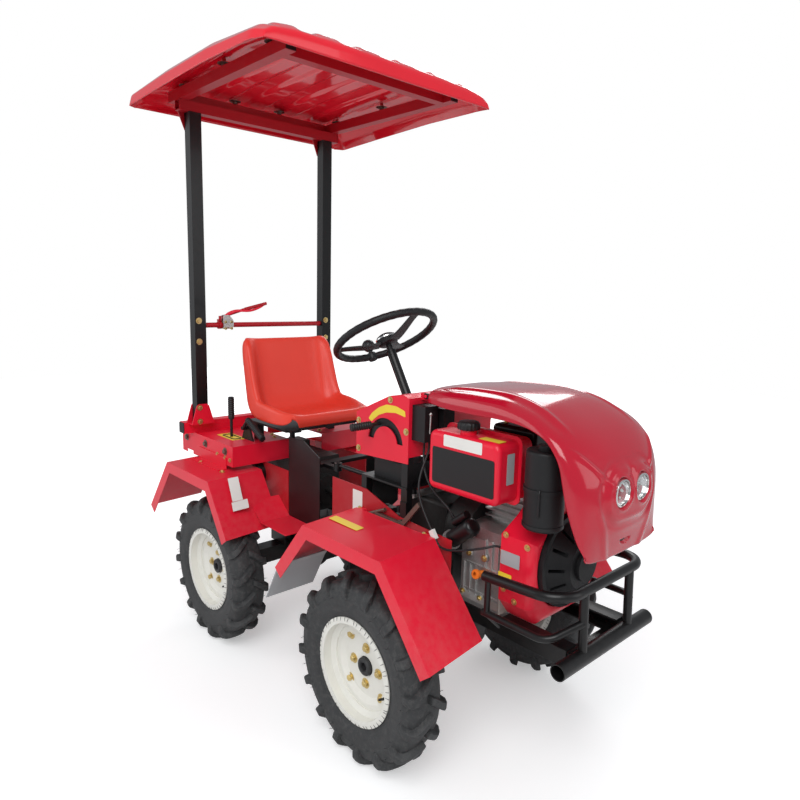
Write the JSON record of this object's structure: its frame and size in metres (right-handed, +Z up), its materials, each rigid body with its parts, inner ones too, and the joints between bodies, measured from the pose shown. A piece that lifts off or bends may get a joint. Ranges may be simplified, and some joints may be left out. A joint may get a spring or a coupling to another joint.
{
  "type": "mini tractor",
  "caption": "Centre-pivot mini tractor with equal lugged wheels, air-cooled engine under a round hood, bucket seat, control decks and canopy.",
  "frame": {"origin": "on the ground, under the middle of the overall length and width", "axes": "+X forward, +Y left, +Z up"},
  "size_m": [2.0386, 1.072, 2.238],
  "materials": {
    "red_paint": "gloss",
    "crimson_gloss": "gloss moulded skin",
    "frame_red": "satin",
    "seat_orange": "matte moulded plastic",
    "black_paint": "gloss",
    "dark_plastic": "matte",
    "tyre_rubber": "matte",
    "flap_rubber": "matte sheet",
    "cream_paint": "gloss",
    "hub_iron": "dark cast",
    "cast_aluminium": "cast",
    "gear_iron": "painted dark",
    "bright_steel": "brushed",
    "dull_steel": "dull plate",
    "lamp_glass": "clear lens over small lamps",
    "cable_black": "satin sheath",
    "white_plastic": "moulded"
  },
  "bodies": {
    "front_half": {"front_chassis": "black_paint", "front_side_plates": "frame_red", "front_axle": "black_paint", "gear_train": "gear_iron", "engine_block": "cast_aluminium", "engine_shroud": "red_paint", "recoil_starter": "dark_plastic", "fuel_tank": "red_paint", "fuel_cap": "dark_plastic", "air_cleaner": "dark_plastic", "muffler": "black_paint", "starter_motor": "black_paint", "electrics": "dark_plastic", "console": "red_paint", "console_lever": "dark_plastic", "steering_column": "black_paint", "steering_box": "gear_iron", "front_bumper": "black_paint", "front_fenders": "red_paint", "mud_flaps": "flap_rubber", "pedal": "dull_steel", "engine_lead": "cable_black", "starter_lead": "cable_black", "lead_connector": "white_plastic"},
    "rear_half": {"rear_chassis": "black_paint", "rear_side_plates": "frame_red", "seat_box": "black_paint", "rear_motor": "black_paint", "rear_axle": "black_paint", "gearbox": "gear_iron", "rear_fenders": "red_paint", "deck_boxes": "red_paint", "cross_tube": "red_paint", "canopy_posts": "black_paint", "canopy_frame": "frame_red", "canopy": "crimson_gloss", "seat": "seat_orange", "seat_pan": "black_paint", "hand_bar": "frame_red", "deck_levers": "dark_plastic"},
    "wheel_front_right": {"tyre_front_right": "tyre_rubber", "rim_front_right": "cream_paint", "hub_front_right": "hub_iron"},
    "wheel_front_left": {"tyre_front_left": "tyre_rubber", "rim_front_left": "cream_paint", "hub_front_left": "hub_iron"},
    "wheel_rear_right": {"tyre_rear_right": "tyre_rubber", "rim_rear_right": "cream_paint", "hub_rear_right": "hub_iron"},
    "wheel_rear_left": {"tyre_rear_left": "tyre_rubber", "rim_rear_left": "cream_paint", "hub_rear_left": "hub_iron"},
    "hood": {"hood": "crimson_gloss", "headlights": "lamp_glass"},
    "steering_wheel": {"steering_wheel": "dark_plastic"},
    "pitman_arm": {"pitman_arm": "bright_steel"},
    "drag_link": {"drag_link": "black_paint"},
    "shaft_slider": {"shaft_slider": "bright_steel"},
    "shaft_sleeve": {"shaft_sleeve": "bright_steel"}
  },
  "joints": [
    {"name": "articulation", "type": "hinge", "parent": "front_half", "child": "rear_half", "pos_m": [-0.05668, 0, 0.45], "axis": [0, 0, 1], "range_deg": [-20, 20]},
    {"name": "wheel_front_right_spin", "type": "hinge", "parent": "front_half", "child": "wheel_front_right", "pos_m": [0.41732, -0.39, 0.29], "axis": [0, 1, 0], "continuous": true},
    {"name": "wheel_front_left_spin", "type": "hinge", "parent": "front_half", "child": "wheel_front_left", "pos_m": [0.41732, 0.39, 0.29], "axis": [0, 1, 0], "continuous": true},
    {"name": "wheel_rear_right_spin", "type": "hinge", "parent": "rear_half", "child": "wheel_rear_right", "pos_m": [-0.53068, -0.39, 0.29], "axis": [0, 1, 0], "continuous": true},
    {"name": "wheel_rear_left_spin", "type": "hinge", "parent": "rear_half", "child": "wheel_rear_left", "pos_m": [-0.53068, 0.39, 0.29], "axis": [0, 1, 0], "continuous": true},
    {"name": "hood_hinge", "type": "hinge", "parent": "front_half", "child": "hood", "pos_m": [0.39932, 0, 1.098], "axis": [0, -1, 0], "range_deg": [0, 55]},
    {"name": "steering", "type": "hinge", "parent": "front_half", "child": "steering_wheel", "pos_m": [0.02532, 0, 1.255], "axis": [-0.518, 0, 0.8554], "range_deg": [-160, 160]},
    {"name": "pitman_turn", "type": "hinge", "parent": "front_half", "child": "pitman_arm", "pos_m": [0.34332, 0, 0.778], "axis": [0, 0, 1], "range_deg": [-20, 20]},
    {"name": "drag_link_turn", "type": "hinge", "parent": "pitman_arm", "child": "drag_link", "pos_m": [0.34332, -0.15, 0.778], "axis": [0, 0, 1], "range_deg": [-20, 20]},
    {"name": "front_joint_turn", "type": "hinge", "parent": "front_half", "child": "shaft_slider", "pos_m": [0.05532, 0, 0.59], "axis": [0, 0, 1], "range_deg": [-10, 10]},
    {"name": "rear_joint_turn", "type": "hinge", "parent": "rear_half", "child": "shaft_sleeve", "pos_m": [-0.16868, 0, 0.59], "axis": [0, 0, 1], "range_deg": [-10, 10]}
  ],
  "couplings": [
    {"joint": "steering", "follows": "articulation", "ratio": -8},
    {"joint": "pitman_turn", "follows": "articulation", "ratio": 1},
    {"joint": "drag_link_turn", "follows": "articulation", "ratio": -1},
    {"joint": "front_joint_turn", "follows": "articulation", "ratio": 0.5},
    {"joint": "rear_joint_turn", "follows": "articulation", "ratio": -0.5}
  ]
}
